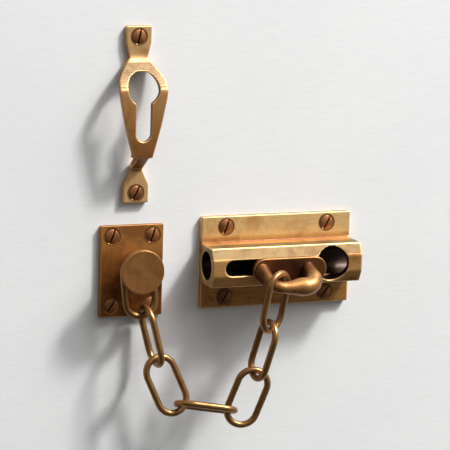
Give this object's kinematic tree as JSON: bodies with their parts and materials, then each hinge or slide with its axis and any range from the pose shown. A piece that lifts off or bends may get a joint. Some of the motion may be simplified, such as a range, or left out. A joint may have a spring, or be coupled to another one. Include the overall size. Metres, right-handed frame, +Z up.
{
  "type": "door chain guard",
  "caption": "Door chain guard in aged brass: keyed barrel slide with a headed bolt and bow, a chain of oval links, a knob anchor plate and a keyhole keeper strip.",
  "frame": {"origin": "centre of the slide plate's back face, on the door face", "axes": "+Y into the door, square to its face; +Z up along the keeper; +X from the anchor plate towards the slide's entry hole"},
  "size_m": [0.1257, 0.0535, 0.1889],
  "materials": {
    "slide_brass": "brushed",
    "plate_brass": "satin",
    "keeper_brass": "satin",
    "screw_brass": "polished",
    "chain_brass": "satin",
    "bow_brass": "polished"
  },
  "bodies": {
    "fixed": {"slide": "slide_brass", "anchor_plate": "plate_brass", "anchor_stud": "plate_brass", "keeper": "keeper_brass", "slide_screw_1": "screw_brass", "slide_screw_2": "screw_brass", "slide_screw_3": "screw_brass", "slide_screw_4": "screw_brass", "anchor_screw_1": "screw_brass", "anchor_screw_2": "screw_brass", "anchor_screw_3": "screw_brass", "anchor_screw_4": "screw_brass", "keeper_screw_top": "screw_brass", "keeper_screw_bottom": "screw_brass"},
    "bolt": {"slide_bolt": "bow_brass", "chain_bow": "bow_brass"},
    "link_1": {"chain_link_1": "chain_brass"},
    "link_2": {"chain_link_2": "chain_brass"},
    "link_3": {"chain_link_3": "chain_brass"},
    "link_4": {"chain_link_4": "chain_brass"},
    "link_5": {"chain_link_5": "chain_brass"},
    "link_6": {"chain_link_6": "chain_brass"},
    "link_7": {"chain_link_7": "chain_brass"}
  },
  "joints": [
    {"name": "bolt_slide", "type": "slide", "parent": "fixed", "child": "bolt", "axis": [1, 0, 0], "range_m": [-0.0265, 0.023]},
    {"name": "link_1_hinge", "type": "hinge", "parent": "fixed", "child": "link_1", "pos_m": [-0.0723, -0.0106, 0.0003], "axis": [0, -1, 0], "range_deg": [-23.4, 20.4]},
    {"name": "link_2_hinge", "type": "hinge", "parent": "link_1", "child": "link_2", "pos_m": [-0.07056, -0.0106, -0.01495], "axis": [0, -1, 0], "range_deg": [-12.7, 14.6]},
    {"name": "link_3_hinge", "type": "hinge", "parent": "link_2", "child": "link_3", "pos_m": [-0.06137, -0.01559, -0.04839], "axis": [0, -1, 0], "range_deg": [-2.8, 3.3]},
    {"name": "link_4_hinge", "type": "hinge", "parent": "link_3", "child": "link_4", "pos_m": [-0.05631, -0.01781, -0.0606], "axis": [0, -1, 0], "range_deg": [-4.9, 5.7]},
    {"name": "link_5_hinge", "type": "hinge", "parent": "link_4", "child": "link_5", "pos_m": [-0.02289, -0.02279, -0.06745], "axis": [0, -1, 0], "range_deg": [-7, 8]},
    {"name": "link_6_hinge", "type": "hinge", "parent": "link_5", "child": "link_6", "pos_m": [-0.01856, -0.02442, -0.05488], "axis": [0, -1, 0], "range_deg": [-5.7, 6.5]},
    {"name": "link_7_hinge", "type": "hinge", "parent": "link_6", "child": "link_7", "pos_m": [-0.01211, -0.0308, -0.02086], "axis": [0, -1, 0], "range_deg": [-2.7, 3.1]}
  ],
  "couplings": [
    {"joint": "link_1_hinge", "follows": "bolt_slide", "rad_per_m": 15.331},
    {"joint": "link_2_hinge", "follows": "bolt_slide", "rad_per_m": -9.487},
    {"joint": "link_3_hinge", "follows": "bolt_slide", "rad_per_m": -2.0485},
    {"joint": "link_4_hinge", "follows": "bolt_slide", "rad_per_m": -3.6372},
    {"joint": "link_5_hinge", "follows": "bolt_slide", "rad_per_m": -5.1879},
    {"joint": "link_6_hinge", "follows": "bolt_slide", "rad_per_m": -4.214},
    {"joint": "link_7_hinge", "follows": "bolt_slide", "rad_per_m": -1.9695}
  ]
}
